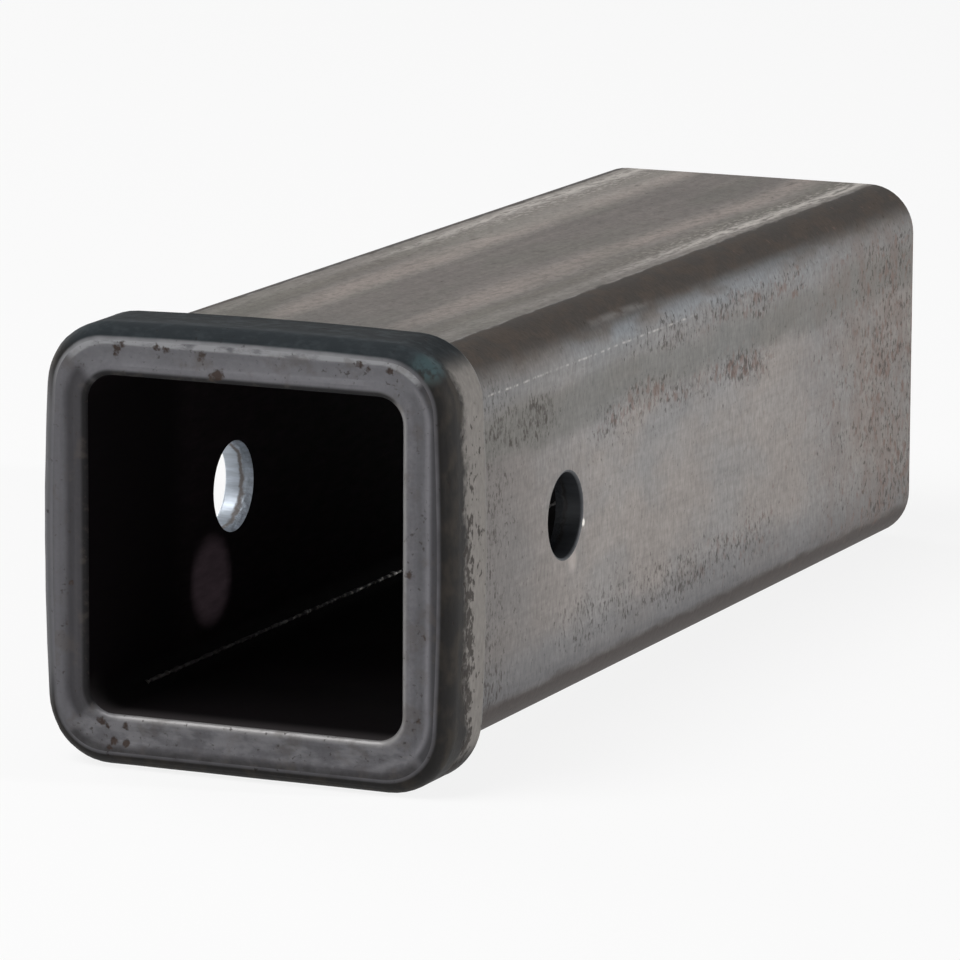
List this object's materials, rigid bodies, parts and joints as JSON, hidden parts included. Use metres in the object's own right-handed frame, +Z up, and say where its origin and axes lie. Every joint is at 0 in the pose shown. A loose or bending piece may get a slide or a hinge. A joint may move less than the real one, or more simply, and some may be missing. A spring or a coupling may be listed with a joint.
{
  "type": "receiver tube",
  "caption": "Square raw-steel hitch receiver tube with an upset rounded collar at its mouth and a cross pin hole through both side walls.",
  "frame": {"origin": "the point where the pin hole's axis crosses the tube's axis", "axes": "+X to the right along the pin hole, +Y along the tube from the mouth to the cut end, +Z up"},
  "size_m": [0.085, 0.254, 0.085],
  "materials": {
    "raw_steel": "raw mill steel with forge scale on the collar, scuffs and rust specks"
  },
  "bodies": {
    "root": {"receiver_tube": "raw_steel"}
  },
  "joints": []
}
